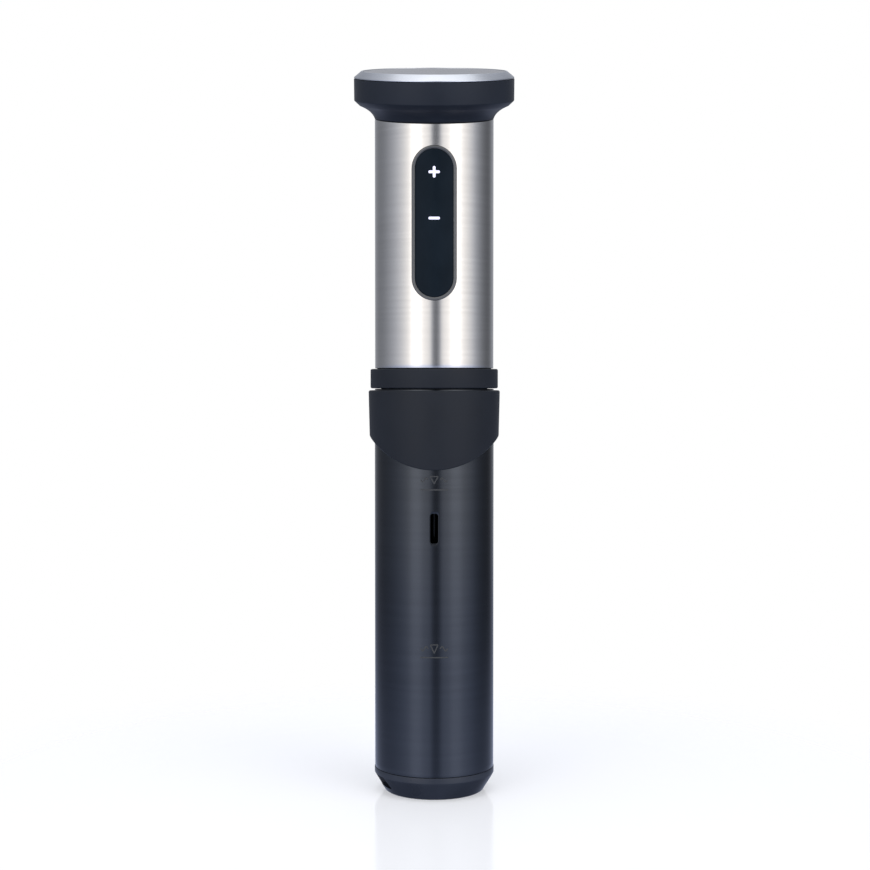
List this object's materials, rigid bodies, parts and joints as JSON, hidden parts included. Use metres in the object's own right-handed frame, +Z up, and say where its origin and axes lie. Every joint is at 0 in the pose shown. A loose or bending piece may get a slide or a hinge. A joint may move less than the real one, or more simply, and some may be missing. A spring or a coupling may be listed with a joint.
{
  "type": "immersion circulator",
  "caption": "Tall round stick that heats and stirs a water bath: steel handle with touch panel, tilted display head, black slotted sleeve, base with side outlet, rear spring clamp.",
  "frame": {"origin": "centre of the base cap's underside, on the stick's axis", "axes": "+Z up along the stick, -Y towards the touch panel, -X towards the water outlet, +Y towards the clamp"},
  "size_m": [0.0806, 0.0963, 0.3722],
  "materials": {
    "handle_steel": "brushed round the tube, satin",
    "coated_steel": "black coating over brushed steel, satin",
    "bezel_aluminium": "fine turned, bright",
    "head_plastic": "satin",
    "soft_black_plastic": "fine matte",
    "cap_plastic": "semi-gloss",
    "panel_gloss": "polished",
    "panel_rim": "satin chamfer",
    "lit_icon": "lit from behind",
    "dark_glass": "dark, polished",
    "seal_rubber": "matte",
    "inner_steel": "drawn",
    "inner_aluminium": "as machined",
    "inner_black_plastic": "moulded",
    "inner_white_plastic": "moulded",
    "circuit_board": "solder mask",
    "copper_winding": "enamelled wire",
    "blue_film": "shrink film"
  },
  "bodies": {
    "base": {"base_cap": "cap_plastic", "cap_seal": "seal_rubber"},
    "sleeve_body": {"sleeve": "coated_steel", "cuff": "soft_black_plastic", "clamp_bracket": "soft_black_plastic", "clamp_pin": "inner_steel", "clamp_fixed_pad": "seal_rubber"},
    "clamp_arm": {"clamp_lever": "soft_black_plastic", "clamp_jaw_pad": "seal_rubber", "clamp_spring": "inner_steel"},
    "handle": {"collar_ring": "soft_black_plastic", "handle_tube": "handle_steel", "bulkhead": "inner_black_plastic", "bulkhead_seal": "seal_rubber", "heater_element": "inner_steel", "temperature_probe": "inner_steel", "low_level_probe": "inner_steel", "common_level_probe": "inner_steel", "shaft_tube": "inner_steel", "lower_bush": "inner_white_plastic", "shaft_seal": "seal_rubber", "motor_mount": "inner_aluminium", "motor": "inner_steel", "motor_screw_1": "inner_steel", "motor_screw_2": "inner_steel", "chassis": "inner_black_plastic", "power_board": "circuit_board", "transformer": "copper_winding", "capacitor": "blue_film", "relay": "inner_white_plastic", "heat_sink": "inner_aluminium", "panel_frame": "panel_rim", "touch_panel": "panel_gloss", "plus_light_guide": "lit_icon", "minus_light_guide": "lit_icon", "touch_board": "circuit_board", "head_housing": "head_plastic", "bezel_ring": "bezel_aluminium", "display_glass": "dark_glass", "display_board": "circuit_board", "display_module": "inner_white_plastic", "buzzer": "inner_black_plastic", "cord_gland": "seal_rubber", "head_screw_1": "inner_steel", "head_screw_2": "inner_steel", "head_screw_3": "inner_steel"},
    "rotor": {"motor_shaft": "inner_steel", "drive_shaft": "inner_steel", "shaft_coupling": "inner_aluminium", "impeller": "inner_white_plastic", "cooling_fan": "inner_black_plastic"}
  },
  "joints": [
    {"name": "sleeve_lift", "type": "slide", "parent": "base", "child": "sleeve_body", "axis": [0, 0, 1], "range_m": [0, 0.03]},
    {"name": "handle_lift", "type": "slide", "parent": "sleeve_body", "child": "handle", "axis": [0, 0, 1], "range_m": [0, 0.21]},
    {"name": "rotor_spin", "type": "hinge", "parent": "handle", "child": "rotor", "pos_m": [0, 0, 0.208], "axis": [0, 0, 1], "continuous": true},
    {"name": "clamp_pivot", "type": "hinge", "parent": "sleeve_body", "child": "clamp_arm", "pos_m": [0, 0.043, 0.194], "axis": [1, 0, 0], "range_deg": [0, 20], "stiffness_Nm_per_rad": 0.4, "springref_deg": -17.19}
  ]
}
